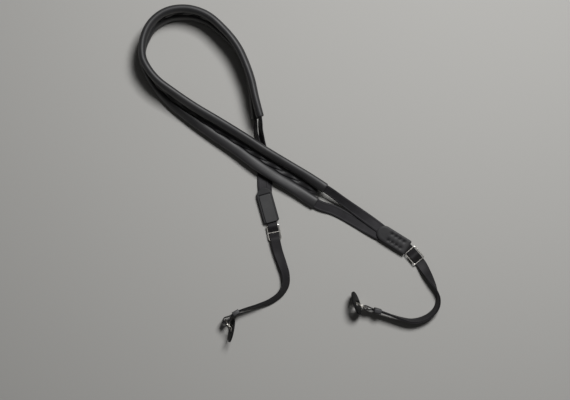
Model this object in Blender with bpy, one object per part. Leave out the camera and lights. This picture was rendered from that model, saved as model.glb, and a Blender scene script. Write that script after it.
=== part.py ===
"""A camera neck strap that lies in one open loop on a flat surface.

Two padded tubes with a braided strip between them go round the neck. At each end a woven tape leaves each
tube, and both tapes go into a leather tab. Doubled webbing goes from the tab through a three-bar slider and
a keeper to a split ring, which holds a slotted disc. Tables and sizes are in millimetres and degrees, and
the model is in metres.
"""

import math
from collections import namedtuple

import bmesh
import bpy
from mathutils import Matrix, Vector

MM = 0.001
UP = Vector((0, 0, 1))
GAP = 0.3
# The middle of the whole strap's underside, in the tables' frame. It becomes the part's origin.
BOX_MIDDLE = Vector((0.33, 0.01, -0.04))

# The neck part: two oval tubes, each on an arm from the braid's centre line.
TUBE_HALF_WIDTH = 7.25
TUBE_HALF_DEPTH = 4.5
TUBE_SIDES = 14
TUBE_ARM = 10.75
TUBE_STEP = 6.0
TUBE_END_ROUNDING = 0.94
TUBE_SHOULDER = 1.0
SOCKET_HALF_WIDTH = 6.15
SOCKET_HALF_DEPTH = 3.1
SOCKET_DEPTH = 4.0
BRAID_HALF_WIDTH = 3.1
BRAID_HALF_DEPTH = 1.9
BRAID_SWELL = 0.16
BRAID_PITCH = 20.0
BRAID_STEP = 5.0
BRAID_SIDES = 6
BRAID_SHORT_BY = 4.0

# The centre line of the neck part: low and high are the rises of the two tubes' arms above the left-hand
# side of travel (90 stands on edge), and lift is the height over what lies under it.
NeckRow = namedtuple("NeckRow", "x y low high lift")
NECK = (
    NeckRow(-33.8, 60.5, 104, 106, 0),
    NeckRow(-37.6, 82.0, 98, 98, 0),
    NeckRow(-41.0, 101.0, 94, 94, 0),
    NeckRow(-46.4, 118.3, 91, 91, 0),
    NeckRow(-54.5, 135.0, 92, 92, 0),
    NeckRow(-70.9, 154.0, 97, 97, 0),
    NeckRow(-90.5, 169.0, 101, 101, 0),
    NeckRow(-111.8, 174.2, 103, 103, 0),
    NeckRow(-132.0, 171.0, 100, 100, 0),
    NeckRow(-147.0, 160.4, 94, 94, 0),
    NeckRow(-155.3, 145.4, 89, 89, 0),
    NeckRow(-158.0, 133.6, 84, 84, 0),
    NeckRow(-157.0, 122.8, 83, 83, 0),
    NeckRow(-153.0, 113.6, 80, 81, 0),
    NeckRow(-144.7, 100.7, 73, 75, 0),
    NeckRow(-126.0, 83.0, 58, 63, 0),
    NeckRow(-105.6, 68.0, 48, 58, 0),
    NeckRow(-79.5, 50.5, 36, 49, 0.6),
    NeckRow(-53.0, 33.6, 27, 46, 2.0),
    NeckRow(-30.0, 17.5, 16, 40, 3.4),
    NeckRow(-5.0, 1.6, 8, 35, 2.7),
    NeckRow(17.0, -11.2, 11, 37, 0.8),
    NeckRow(34.8, -22.3, 14, 40, 0),
)

# The woven tapes. Rows run the same way round as the neck part, and roll is the rise of the tape's width.
TAPE_HALF_WIDTH = 5.6
TAPE_HALF_DEPTH = 0.5
TAPE_STEP = 5.0
TAPE_IN_TUBE = 3.0
TAPE_OUT_OF_TUBE = 2.0
TapeRow = namedtuple("TapeRow", "x y z roll")
TAPES_RIGHT = {
    "tape_right_upper": (
        TapeRow(60.4, -30.4, 9.2, 32),
        TapeRow(79.0, -43.7, 6.3, 15),
        TapeRow(94.0, -54.5, 5.05, 0),
        TapeRow(108.0, -65.4, 5.0, 0),
    ),
    "tape_right_lower": (
        TapeRow(49.0, -38.8, 3.2, 12),
        TapeRow(68.3, -49.1, 2.6, 8),
        TapeRow(83.6, -57.8, 3.0, 3),
        TapeRow(94.2, -63.4, 3.7, 0),
        TapeRow(106.0, -69.0, 3.7, 0),
    ),
}
TAPES_LEFT = {
    "tape_left_upper": (
        TapeRow(-24.0, -26.4, 2.2, 180),
        TapeRow(-24.0, -14.0, 2.2, 180),
        TapeRow(-23.4, -3.0, 0.9, 180),
        TapeRow(-23.7, 6.0, 0.9, 180),
        TapeRow(-24.9, 15.0, 2.0, 167),
        TapeRow(-26.7, 24.0, 4.6, 144),
        TapeRow(-28.3, 32.0, 7.4, 127),
        TapeRow(-29.6, 42.0, 12.5, 115),
        TapeRow(-30.6, 51.0, 19.5, 108),
    ),
    "tape_left_lower": (
        TapeRow(-26.8, -26.8, 3.4, 180),
        TapeRow(-27.9, -14.0, 3.45, 180),
        TapeRow(-28.6, -2.0, 2.2, 180),
        TapeRow(-29.3, 8.0, 2.4, 175),
        TapeRow(-30.8, 17.0, 3.4, 160),
        TapeRow(-32.5, 26.0, 4.8, 138),
        TapeRow(-34.2, 36.0, 5.8, 120),
        TapeRow(-35.7, 46.0, 6.4, 109),
    ),
}

# The tabs: leather leaves round the tapes' ends, with a narrow panel on the back.
TAB_RADIUS = 8.5
TAB_STRAIGHT = 29.8
TAB_CORNER = 1.6
TAB_LEAF = 1.4
TAB_PANEL = 1.2
TAB_CAVITY = 2.9
PANEL_HALF_WIDTH = 6.3
PANEL_START = 1.0
CORNER_STEPS = 5
EDGE_ROUNDING = 0.25
EDGE_ANGLE = 60
TabPlace = namedtuple("TabPlace", "x y heading face_up")
TABS = {
    "right": TabPlace(103.8, -64.1, -32.0, True),
    "left": TabPlace(-26.5, -22.8, -74.4, False),
}

# The sliders: a rounded wire frame with a bar across its middle.
SLIDER_LENGTH = 17.0
SLIDER_WIDTH = 14.4
SLIDER_CORNER = 1.0
SLIDER_CLEARANCE = 0.4
WIRE_RADIUS = 0.65
WIRE_SIDES = 8
BAR_REACH = SLIDER_LENGTH / 2 - WIRE_RADIUS
BAR_RADIUS = 0.61
BAR_SIDES = 10
SliderPlace = namedtuple("SliderPlace", "x y z heading")
SLIDERS = {
    "right": SliderPlace(136.5, -87.9, 4.45, -49.5),
    "left": SliderPlace(-16.3, -62.9, 3.55, -78.7),
}

# The thin webbing: two layers, one on each side of its route. Roll 0 lies flat and 90 stands on edge with
# its face outwards, and lift is the height over the surface. Rows 2, 3 and 4 are at the slider's three bars.
WEB_HALF_WIDTH = 5.2
WEB_HALF_DEPTH = 0.5
LAYER_OFFSET = 0.65
PAIR_HALF_DEPTH = LAYER_OFFSET + WEB_HALF_DEPTH
WEB_STEP = 3.4
SLIDER_STEP = 1.0
SLIDER_SPANS = (2, 3)
RETURN_PAST_BAR = 1.6
LOOP_STEPS = 6
WebRow = namedtuple("WebRow", "x y roll lift")
WEBS = {
    "right": (
        WebRow(122.6, -75.8, 0, 2.3),
        WebRow(128.6, -79.6, 0, 2.3),
        WebRow(131.0, -81.6, 0, 1.05),
        WebRow(136.5, -87.9, 0, 1.05),
        WebRow(142.2, -94.5, 0, 1.05),
        WebRow(145.0, -98.6, 8, 1.0),
        WebRow(148.0, -103.8, 24, 0.7),
        WebRow(154.6, -114.8, 55, 0.2),
        WebRow(160.0, -125.2, 72, 0),
        WebRow(162.2, -135.7, 79, 0),
        WebRow(160.2, -145.0, 81, 0.2),
        WebRow(153.7, -152.4, 83, 0.8),
        WebRow(144.5, -157.2, 84, 1.8),
        WebRow(133.6, -158.9, 85, 3.0),
        WebRow(122.8, -156.6, 86, 4.2),
        WebRow(111.9, -152.9, 88, 5.2),
        WebRow(103.2, -149.7, 90, 6.0),
        WebRow(95.5, -147.2, 90, 6.4),
        WebRow(82.6, -143.9, 90, 6.4),
    ),
    "left": (
        WebRow(-20.3, -45.2, 0, 2.7),
        WebRow(-18.5, -51.5, 0, 3.0),
        WebRow(-17.8, -55.0, 0, 4.6),
        WebRow(-16.3, -62.9, 0, 4.6),
        WebRow(-14.8, -70.8, 2, 4.5),
        WebRow(-11.9, -83.6, 12, 2.2),
        WebRow(-7.3, -97.2, 28, 0.6),
        WebRow(-3.6, -109.1, 42, 0),
        WebRow(-3.6, -120.0, 50, 0),
        WebRow(-9.0, -129.4, 56, 0.3),
        WebRow(-18.8, -136.9, 60, 1.0),
        WebRow(-33.6, -142.6, 68, 2.4),
        WebRow(-47.7, -146.2, 78, 4.4),
        WebRow(-54.6, -148.2, 84, 5.6),
        WebRow(-60.2, -151.2, 88, 6.4),
        WebRow(-68.0, -157.8, 90, 6.4),
    ),
}

# The ends: x and y are the middle of the ring's wire inside the webbing, ring is its heading from the disc,
# disc is the heading that the disc faces, tilt is how far it leans back, and loop_half and loop_long size
# the webbing's loop.
RING_RADIUS = 7.2
RING_WIRE = 0.7
RING_STEPS = 26
RING_SIDES = 8
RING_HEIGHT = 11.6
RING_FROM_DISC = 6.1
DISC_RADIUS = 13.0
DISC_DEPTH = 1.4
DISC_STEPS = 32
SLOT_PAST_WIRE = 2.6
SLOT_WIDTH = 5.6
EndPlace = namedtuple("EndPlace", "x y ring disc tilt loop_half loop_long")
ENDS = {
    "right": EndPlace(85.0, -144.7, -25.0, 19.0, 16.0, 1.9, 9.6),
    "left": EndPlace(-68.6, -156.8, 119.5, 168.0, 11.0, 3.3, 7.0),
}

# The keeper: a sleeve that follows the webbing.
KEEPER_WALL = 0.9
KEEPER_STEPS = 2
KEEPER_CLEARANCE = 0.4


def heading_vector(degrees):
    """A level unit vector at this many degrees from +X."""
    return Vector((math.cos(math.radians(degrees)), math.sin(math.radians(degrees)), 0))


def through(rows, step, fine_spans=()):
    """Rows about a step apart on a smooth line through the given rows, with every column eased alike."""
    spans = [math.hypot(b.x - a.x, b.y - a.y) for a, b in zip(rows, rows[1:])]
    rises = [[(q - p) / span for p, q in zip(a, b)] for a, b, span in zip(rows, rows[1:], spans)]
    slopes = [rises[0]]
    for i in range(1, len(rows) - 1):
        before, after = spans[i - 1], spans[i]
        pairs = zip(rises[i - 1], rises[i])
        slopes.append([(p * after + q * before) / (before + after) for p, q in pairs])
    slopes.append(rises[-1])
    found = []
    for i, span in enumerate(spans):
        pieces = max(1, round(span / (SLIDER_STEP if i in fine_spans else step)))
        for k in range(pieces):
            t = k / pieces
            ease = (1 + 2 * t) * (1 - t) ** 2
            start, end = t * (1 - t) ** 2 * span, t * t * (t - 1) * span
            values = zip(rows[i], rows[i + 1], slopes[i], slopes[i + 1])
            eased = (a * ease + b * (1 - ease) + p * start + q * end for a, b, p, q in values)
            found.append(type(rows[0])(*eased))
    found.append(rows[-1])
    return found


def headings(points):
    """The unit direction of travel at each point of a line."""
    last = len(points) - 1
    return [(points[min(i + 1, last)] - points[max(i - 1, 0)]).normalized() for i in range(last + 1)]


def across_at(travel, rise):
    """The width direction that rises this many degrees from the left-hand side of travel."""
    side = UP.cross(travel).normalized()
    turned = side * math.cos(math.radians(rise)) + UP * math.sin(math.radians(rise))
    return (turned - travel * turned.dot(travel)).normalized()


def oval(centre, across, out, half_width, half_depth, sides):
    """The points of an oval section, in order."""
    turns = [2 * math.pi * k / sides for k in range(sides)]
    return [centre + across * half_width * math.cos(a) + out * half_depth * math.sin(a) for a in turns]


def flat_section(centre, across, out, half_width, half_depth):
    """The four corners of a strap's section, in order."""
    corners = ((1, 1), (-1, 1), (-1, -1), (1, -1))
    return [centre + across * half_width * p + out * half_depth * q for p, q in corners]


def mesh_object(name, mesh_data, slot):
    """Makes a bmesh an object with this material, moved from the tables' frame to the part's."""
    mesh_data.transform(Matrix.Translation(-BOX_MIDDLE * MM))
    mesh_data.normal_update()
    bmesh.ops.recalc_face_normals(mesh_data, faces=mesh_data.faces)
    mesh = bpy.data.meshes.new(name)
    mesh_data.to_mesh(mesh)
    mesh_data.free()
    made = bpy.data.objects.new(name, mesh)
    made.data.materials.append(bpy.data.materials[slot])
    bpy.context.collection.objects.link(made)
    return made


def loft(name, sections, slot):
    """A solid skinned over sections of equally many points, given in millimetres, with both ends filled."""
    shape = bmesh.new()
    rings = [[shape.verts.new(point * MM) for point in section] for section in sections]
    for ring, following in zip(rings, rings[1:]):
        for k in range(len(ring)):
            after = (k + 1) % len(ring)
            shape.faces.new((ring[k], ring[after], following[after], following[k]))
    shape.faces.new(rings[0])
    shape.faces.new(rings[-1])
    return mesh_object(name, shape, slot)


def closed_loft(name, sections, slot):
    """A solid skinned over sections whose last one meets the first."""
    shape = bmesh.new()
    rings = [[shape.verts.new(point * MM) for point in section] for section in sections]
    for i, ring in enumerate(rings):
        following = rings[(i + 1) % len(rings)]
        for k in range(len(ring)):
            after = (k + 1) % len(ring)
            shape.faces.new((ring[k], ring[after], following[after], following[k]))
    return mesh_object(name, shape, slot)


def cut_or_join(target, helper, operation):
    """Adds a Boolean with a helper object that the build leaves out."""
    modifier = target.modifiers.new(operation.title(), "BOOLEAN")
    modifier.operation = operation
    modifier.object = helper
    modifier.solver = "EXACT"
    helper.hide_render = True
    helper.display_type = "WIRE"


def neck_stations(step):
    """(centre, travel, row) along the neck part's centre line."""
    rows = through(NECK, step)
    travels = headings([Vector((row.x, row.y, 0)) for row in rows])
    found = []
    for row, travel in zip(rows, travels):
        low = math.radians(row.low)
        rest = math.hypot(TUBE_HALF_WIDTH * math.sin(low), TUBE_HALF_DEPTH * math.cos(low))
        centre = Vector((row.x, row.y, rest + TUBE_ARM * math.sin(low) + row.lift))
        found.append((centre, travel, row))
    return found


def tube_frame(station, side):
    """(centre, travel, across, out) of a tube, where side is 1 for the upper tube and -1 for the lower."""
    centre, travel, row = station
    across = across_at(travel, row.high if side > 0 else row.low)
    return centre + across * TUBE_ARM * side, travel, across, travel.cross(across)


def neck_tube(name, side):
    """A padded tube, with a socket in each end for its tape."""
    sections = []
    stations = neck_stations(TUBE_STEP)
    last = len(stations) - 1
    for i, station in enumerate(stations):
        centre, travel, across, out = tube_frame(station, side)
        inwards = {0: 1, last: -1}.get(i, 0)
        whole = oval(centre, across, out, TUBE_HALF_WIDTH, TUBE_HALF_DEPTH, TUBE_SIDES)
        if inwards:
            mouth = oval(centre, across, out, SOCKET_HALF_WIDTH, SOCKET_HALF_DEPTH, TUBE_SIDES)
            bottom = [point + travel * SOCKET_DEPTH * inwards for point in mouth]
            drawn_in = [centre + (point - centre) * TUBE_END_ROUNDING for point in whole]
            shoulder = [point + travel * TUBE_SHOULDER * inwards for point in whole]
            end = [bottom, mouth, drawn_in, shoulder]
            sections += end if i == 0 else end[::-1]
        else:
            sections.append(whole)
    return loft(name, sections, "black_leather")


def centre_braid():
    """The braided strip, which swells at each crossing of its strands."""
    sections = []
    gone = 0.0
    stations = neck_stations(BRAID_STEP)
    skipped = math.ceil(BRAID_SHORT_BY / BRAID_STEP)
    kept = stations[skipped:-skipped]
    for i, (centre, travel, row) in enumerate(kept):
        gone += (centre - kept[max(i - 1, 0)][0]).length
        swell = 1 - BRAID_SWELL * math.cos(math.pi * gone / BRAID_PITCH) ** 2
        across = across_at(travel, (row.low + row.high) / 2)
        out = travel.cross(across)
        size = (BRAID_HALF_WIDTH * (1 + swell) / 2, BRAID_HALF_DEPTH * swell)
        sections.append(oval(centre, across, out, *size, BRAID_SIDES))
    return loft("centre_braid", sections, "black_leather")


def socket_rows(at_start, side):
    """The two tape rows that lie in a tube's socket, in the order of travel."""
    stations = neck_stations(TUBE_STEP)
    station = stations[0] if at_start else stations[-1]
    centre, travel, _, _ = tube_frame(station, side)
    roll = station[2].high if side > 0 else station[2].low
    inwards = travel if at_start else -travel
    places = [centre - inwards * TAPE_OUT_OF_TUBE, centre + inwards * TAPE_IN_TUBE]
    rows = [TapeRow(*place, roll) for place in places]
    return rows if at_start else rows[::-1]


def tape(name, rows):
    """A woven tape through its rows."""
    eased = through(rows, TAPE_STEP)
    points = [Vector((row.x, row.y, row.z)) for row in eased]
    sections = []
    for point, travel, row in zip(points, headings(points), eased):
        across = across_at(travel, row.roll)
        out = travel.cross(across)
        sections.append(flat_section(point, across, out, TAPE_HALF_WIDTH, TAPE_HALF_DEPTH))
    return loft(name, sections, "woven_tape")


def tapes():
    for name, rows in TAPES_RIGHT.items():
        tape(name, socket_rows(False, 1 if "upper" in name else -1) + list(rows))
    for name, rows in TAPES_LEFT.items():
        tape(name, list(rows) + socket_rows(True, 1 if "upper" in name else -1))


def tab_outline(start, half_width, start_radius):
    """A leaf seen from above, with corners of start_radius at its first end and square ones at its last."""
    far = TAB_STRAIGHT - TAB_CORNER
    corners = (
        (far, half_width - TAB_CORNER, TAB_CORNER, 0),
        (start, half_width - start_radius, start_radius, 90),
        (start, start_radius - half_width, start_radius, 180),
        (far, TAB_CORNER - half_width, TAB_CORNER, 270),
    )
    points = []
    for x, y, radius, first in corners:
        for k in range(CORNER_STEPS + 1):
            turn = math.radians(first + 90 * k / CORNER_STEPS)
            point = (x + radius * math.cos(turn), y + radius * math.sin(turn))
            if not points or math.dist(point, points[-1]) > EDGE_ROUNDING / 10:
                points.append(point)
    return points


def leaf(name, outline, bottom, depth, place):
    """A flat leather leaf, from its height over the tab's back."""
    shape = bmesh.new()
    face = shape.faces.new([shape.verts.new((x * MM, y * MM, bottom * MM)) for x, y in outline])
    grown = bmesh.ops.extrude_face_region(shape, geom=[face])
    moved = [item for item in grown["geom"] if isinstance(item, bmesh.types.BMVert)]
    bmesh.ops.translate(shape, verts=moved, vec=(0, 0, depth * MM))
    if not place.face_up:
        shape.transform(Matrix.Translation((0, 0, tab_height() * MM)) @ Matrix.Rotation(math.pi, 4, "X"))
    turned = Matrix.Rotation(math.radians(place.heading), 4, "Z")
    shape.transform(Matrix.Translation((place.x * MM, place.y * MM, 0)) @ turned)
    made = mesh_object(name, shape, "black_leather")
    edges = made.modifiers.new("Rounded edges", "BEVEL")
    edges.width = EDGE_ROUNDING * MM
    edges.segments = 1
    edges.limit_method = "ANGLE"
    edges.angle_limit = math.radians(EDGE_ANGLE)
    return made


def tab_height():
    return TAB_PANEL + GAP + TAB_LEAF + TAB_CAVITY + TAB_LEAF


def tab(end, place):
    """Panel, back leaf and front leaf, upwards from the tab's back."""
    whole = tab_outline(0, TAB_RADIUS, TAB_RADIUS)
    narrow = tab_outline(PANEL_START, PANEL_HALF_WIDTH, TAB_CORNER)
    back = TAB_PANEL + GAP
    leaf(f"tab_panel_{end}", narrow, 0, TAB_PANEL, place)
    leaf(f"tab_back_leaf_{end}", whole, back, TAB_LEAF, place)
    leaf(f"tab_front_leaf_{end}", whole, back + TAB_LEAF + TAB_CAVITY, TAB_LEAF, place)


def slider(end, place):
    """The wire frame, with its middle bar joined on."""
    half_width = SLIDER_WIDTH / 2 - WIRE_RADIUS
    ahead = heading_vector(place.heading)
    aside = UP.cross(ahead)
    middle = Vector((place.x, place.y, place.z))
    corners = ((1, 1, 0), (-1, 1, 90), (-1, -1, 180), (1, -1, 270))
    sections = []
    for p, q, first in corners:
        hub = middle + ahead * p * (BAR_REACH - SLIDER_CORNER) + aside * q * (half_width - SLIDER_CORNER)
        for turn in (first, first + 45, first + 90):
            out = ahead * math.cos(math.radians(turn)) + aside * math.sin(math.radians(turn))
            sections.append(oval(hub + out * SLIDER_CORNER, out, UP, WIRE_RADIUS, WIRE_RADIUS, WIRE_SIDES))
    frame = closed_loft(f"slider_{end}", sections, "bright_steel")
    bar_ends = [middle + aside * half_width * sign for sign in (-1, 1)]
    bar_sections = [oval(point, ahead, UP, BAR_RADIUS, BAR_RADIUS, BAR_SIDES) for point in bar_ends]
    cut_or_join(frame, loft(f"slider_bar_{end}", bar_sections, "bright_steel"), "UNION")


def web_frames(end):
    """(centre, travel, across, out) of the doubled webbing, from the tab to the ring."""
    slide = SLIDERS[end]
    ride = 2 * (WIRE_RADIUS + SLIDER_CLEARANCE + PAIR_HALF_DEPTH) * face_sign(end)
    points, rolls = [], []
    for row in through(WEBS[end], WEB_STEP, SLIDER_SPANS):
        roll = math.radians(row.roll)
        height = WEB_HALF_WIDTH * math.sin(roll) + PAIR_HALF_DEPTH * math.cos(roll) + row.lift
        from_middle = math.dist((row.x, row.y), (slide.x, slide.y)) / BAR_REACH
        if from_middle < 1:
            height += ride * (1 + math.cos(math.pi * from_middle)) / 2
        points.append(Vector((row.x, row.y, height)))
        rolls.append(row.roll)
    found = []
    for point, travel, roll in zip(points, headings(points), rolls):
        across = across_at(travel, -roll)
        found.append((point, travel, across, travel.cross(across)))
    return found


def face_sign(end):
    """1 where the strap lies face up at this end, and -1 where it lies face down."""
    return 1 if TABS[end].face_up else -1


def gone_along(frames):
    """The distance from the first frame to each."""
    found = [0.0]
    for (a, *_), (b, *_) in zip(frames, frames[1:]):
        found.append(found[-1] + (b - a).length)
    return found


def thin_webbing(end):
    """One strap: out from the tab, round the ring's wire, and back under itself through the slider."""
    frames = web_frames(end)
    gone = gone_along(frames)
    sign = face_sign(end)
    place = ENDS[end]
    size = (WEB_HALF_WIDTH, WEB_HALF_DEPTH)
    outwards_run, back_run = [], []
    for (point, _, across, out), so_far in zip(frames, gone):
        opened = max(1 - (gone[-1] - so_far) / place.loop_long, 0)
        offset = LAYER_OFFSET + (place.loop_half - LAYER_OFFSET) * (1 - math.cos(math.pi * opened)) / 2
        outwards_run.append(flat_section(point + out * offset * sign, across, out, *size))
        back_run.append(flat_section(point - out * offset * sign, across, out, *size)[::-1])
    point, travel, across, out = frames[-1]
    turn_run = []
    for k in range(LOOP_STEPS + 1):
        turn = math.pi * k / LOOP_STEPS
        away = out * sign * math.cos(turn) + travel * math.sin(turn)
        turn_run.append(flat_section(point + away * place.loop_half, across, away * sign, *size))
    slide = SLIDERS[end]
    ahead = heading_vector(slide.heading)
    stop = Vector((slide.x, slide.y, 0)) - ahead * (BAR_REACH + RETURN_PAST_BAR)
    first = next(i for i, (point, *_) in enumerate(frames) if (point - stop).dot(ahead) > 0)
    return loft(f"thin_webbing_{end}", outwards_run + turn_run + back_run[: first - 1 : -1], "thin_webbing")


def keeper(end):
    """The sleeve round both layers, up to where the webbing's loop opens."""
    frames = web_frames(end)
    gone = gone_along(frames)
    last = max(i for i, so_far in enumerate(gone) if so_far <= gone[-1] - ENDS[end].loop_long)
    inner = (WEB_HALF_WIDTH + KEEPER_CLEARANCE, PAIR_HALF_DEPTH + KEEPER_CLEARANCE)
    outer = (inner[0] + KEEPER_WALL, inner[1] + KEEPER_WALL)
    outside, inside = [], []
    for point, _, across, out in frames[last - KEEPER_STEPS : last + 1]:
        outside.append(flat_section(point, across, out, *outer))
        inside.append(flat_section(point, across, out, *inner))
    return closed_loft(f"keeper_{end}", outside + inside[::-1], "grey_keeper")


def split_ring(end, place):
    """The ring, upright in the webbing's loop. Returns its middle and the direction to the webbing."""
    reach = heading_vector(place.ring)
    hub = Vector((place.x, place.y, RING_HEIGHT)) - reach * RING_RADIUS
    beside = reach.cross(UP)
    sections = []
    for k in range(RING_STEPS):
        turn = 2 * math.pi * k / RING_STEPS
        out = reach * math.cos(turn) + UP * math.sin(turn)
        sections.append(oval(hub + out * RING_RADIUS, out, beside, RING_WIRE, RING_WIRE, RING_SIDES))
    closed_loft(f"split_ring_{end}", sections, "bright_steel")
    return hub, reach


def lug_disc(end, place, hub, reach):
    """The leaning disc, with a slot that runs between the two places where the ring crosses it."""
    tilt = math.radians(place.tilt)
    facing = heading_vector(place.disc) * math.cos(tilt) + UP * math.sin(tilt)
    level = UP.cross(facing).normalized()
    steep = facing.cross(level)
    centre = hub - reach * RING_FROM_DISC
    centre.z = DISC_RADIUS * math.cos(tilt) + DISC_DEPTH / 2 * math.sin(tilt)
    rims = []
    for sign in (-1, 1):
        rim_centre = centre + facing * DISC_DEPTH / 2 * sign
        rims.append(oval(rim_centre, steep, level, DISC_RADIUS, DISC_RADIUS, DISC_STEPS))
    disc = loft(f"lug_disc_{end}", rims, "black_leather")

    steepest = math.atan2(facing.z, facing.dot(reach))
    to_plane = facing.dot(centre - hub) / RING_RADIUS / math.hypot(facing.z, facing.dot(reach))
    crossings = []
    for turn in (steepest - math.acos(to_plane), steepest + math.acos(to_plane)):
        crossings.append(hub + RING_RADIUS * (reach * math.cos(turn) + UP * math.sin(turn)))
    slot_middle = (crossings[0] + crossings[1]) / 2
    along = (crossings[1] - crossings[0]).normalized()
    slot_half = (crossings[1] - slot_middle).length + SLOT_PAST_WIRE
    mouths = []
    for sign in (-1, 1):
        mouth_centre = slot_middle + facing * DISC_DEPTH * sign
        mouths.append(flat_section(mouth_centre, along, facing.cross(along), slot_half, SLOT_WIDTH / 2))
    cut_or_join(disc, loft(f"lug_slot_{end}", mouths, "black_leather"), "DIFFERENCE")


def material(name, colour, roughness, metallic=0.0):
    made = bpy.data.materials.new(name)
    made.use_nodes = True
    shader = made.node_tree.nodes["Principled BSDF"]
    shader.inputs["Base Color"].default_value = (*colour, 1)
    shader.inputs["Roughness"].default_value = roughness
    shader.inputs["Metallic"].default_value = metallic


def main():
    for obj in list(bpy.data.objects):
        bpy.data.objects.remove(obj)
    material("black_leather", (0.018, 0.018, 0.020), 0.45)
    material("woven_tape", (0.020, 0.020, 0.022), 0.8)
    material("thin_webbing", (0.022, 0.022, 0.024), 0.75)
    material("grey_keeper", (0.10, 0.10, 0.105), 0.5)
    material("bright_steel", (0.62, 0.62, 0.63), 0.25, 1.0)
    neck_tube("neck_tube_upper", 1)
    neck_tube("neck_tube_lower", -1)
    centre_braid()
    tapes()
    for end in ("right", "left"):
        tab(end, TABS[end])
        slider(end, SLIDERS[end])
        thin_webbing(end)
        keeper(end)
        lug_disc(end, ENDS[end], *split_ring(end, ENDS[end]))


if __name__ == "__main__":
    main()
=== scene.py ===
"""The finished look of a camera neck strap, laid out as a Blender add-on and run as a script.

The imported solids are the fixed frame. Every visible piece is drawn over them: padded leather tubes with a
braid between, woven tapes, leather tabs with thick stitches, sliders, doubled webbing, keepers, split rings
and slotted leather discs. Lengths are in metres, and names that end in _mm or _MM are millimetres.
"""

import math
from collections import namedtuple
from contextlib import contextmanager

import bmesh
import bpy
import numpy as np
from bpy.props import FloatProperty, FloatVectorProperty, IntProperty, PointerProperty
from mathutils import Matrix, Vector


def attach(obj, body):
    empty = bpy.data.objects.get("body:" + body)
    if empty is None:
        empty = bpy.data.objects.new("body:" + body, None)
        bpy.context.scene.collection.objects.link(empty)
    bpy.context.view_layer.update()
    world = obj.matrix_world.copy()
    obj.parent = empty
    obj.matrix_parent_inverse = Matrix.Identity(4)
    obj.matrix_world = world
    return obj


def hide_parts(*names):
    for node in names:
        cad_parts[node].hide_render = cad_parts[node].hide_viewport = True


bl_info = {
    "name": "Camera neck strap",
    "version": (1, 0, 0),
    "blender": (4, 5, 0),
    "location": "View3D > Sidebar > Neck strap",
    "description": "Draws the leather, tapes, webbing and metal of a camera neck strap over its solids",
    "category": "Object",
}

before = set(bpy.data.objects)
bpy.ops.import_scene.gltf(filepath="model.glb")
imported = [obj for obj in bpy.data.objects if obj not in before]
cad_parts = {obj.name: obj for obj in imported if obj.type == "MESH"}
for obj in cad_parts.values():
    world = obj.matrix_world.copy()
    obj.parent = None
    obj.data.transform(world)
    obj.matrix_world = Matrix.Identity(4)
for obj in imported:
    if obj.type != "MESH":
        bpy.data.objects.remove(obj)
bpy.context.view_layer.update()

MM = 0.001
UP = Vector((0, 0, 1))
ENDS = ("right", "left")
# A place beside each end's tab. A swept solid is read from its end that is nearest to such a place.
TAB_SIDE = {"right": Vector((0.12, -0.07, 0.0)), "left": Vector((-0.024, -0.035, 0.0))}
# Points closer than WELD are one point. Faces within FLAT_ANGLE are one face, and a swept solid's end meets
# its sides at more than END_ANGLE.
WELD = 1e-6
FLAT_ANGLE = math.radians(0.3)
END_ANGLE = math.radians(60)

# A place on a swept solid: its middle, three directions, and how far along the solid it lies.
Station = namedtuple("Station", "centre travel across out gone")


def linear(code):
    """The linear colour of an sRGB hex code such as "1b1b1d"."""
    values = [int(code[i:i + 2], 16) / 255 for i in (0, 2, 4)]
    return [v / 12.92 if v <= 0.04045 else ((v + 0.055) / 1.055) ** 2.4 for v in values]


def length_property(name, description, default_mm):
    """A length that a user may change, given in millimetres."""
    return FloatProperty(
        name=name, description=description, default=default_mm * MM, min=0, unit="LENGTH", precision=5)


def angle_property(name, description, default_deg):
    """An angle that a user may change, given in degrees."""
    return FloatProperty(
        name=name, description=description, default=math.radians(default_deg), subtype="ANGLE")


def colour_property(name, description, code):
    """A colour that a user may change, given as an sRGB hex code."""
    return FloatVectorProperty(
        name=name, description=description, default=linear(code), subtype="COLOR", min=0, max=1)


class StrapSizes(bpy.types.PropertyGroup):
    """Sizes that the solids leave open."""

    tube_side: length_property("Tube pull-in", "How much narrower than its solid a tube is on each side", 1.1)
    tube_face: length_property("Tube face", "How much thinner than its solid a tube is cut on each face", 0.4)
    tube_rise: length_property("Tube fill", "The most that the padding lifts the leather", 0.45)
    upper_roll: angle_property("Upper tube roll", "How much flatter than its solid the upper tube lies", -20)
    lower_roll: angle_property("Lower tube roll", "How much flatter than its solid the lower tube lies", 14)
    upper_shift: length_property("Upper tube shift", "How far out from its solid the upper tube lies", 1.1)
    lower_shift: length_property("Lower tube shift", "How far in from its solid the lower tube lies", 1.9)
    braid_roll: angle_property("Braid roll", "How much flatter than its solid the braid lies", 16)
    braid_shift: length_property("Braid shift", "How much nearer the upper tube the braid lies", 1.7)
    braid_pitch: length_property("Braid pitch", "From one crossing of the strands to the next", 20.3)
    braid_start: length_property("Braid start", "From the braid's end to its first crossing", 6.0)
    strand_half: length_property("Strand half width", "Half the width of a braid strand", 3.4)
    strand_depth: length_property("Strand depth", "How thick a braid strand is", 1.8)
    strand_swing: length_property("Strand swing", "How far a strand swings from the braid's middle", 1.4)
    strand_tilt: angle_property("Strand tilt", "How far strands side by side lean on each other", 30)
    thread: length_property("Thread", "The diameter of the tabs' thick thread", 0.8)
    stitch: length_property("Stitch", "From one hole of the tabs' stitches to the next", 5.1)
    stitch_aside: length_property("Stitch rows", "From the tab's middle line to a row of stitches", 3.9)
    stitch_start: length_property("First hole", "From a tab's round end's middle to its first hole", 7.2)
    ring_wire: length_property("Ring wire", "Half the width of one turn of the split ring's wire", 0.33)


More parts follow.
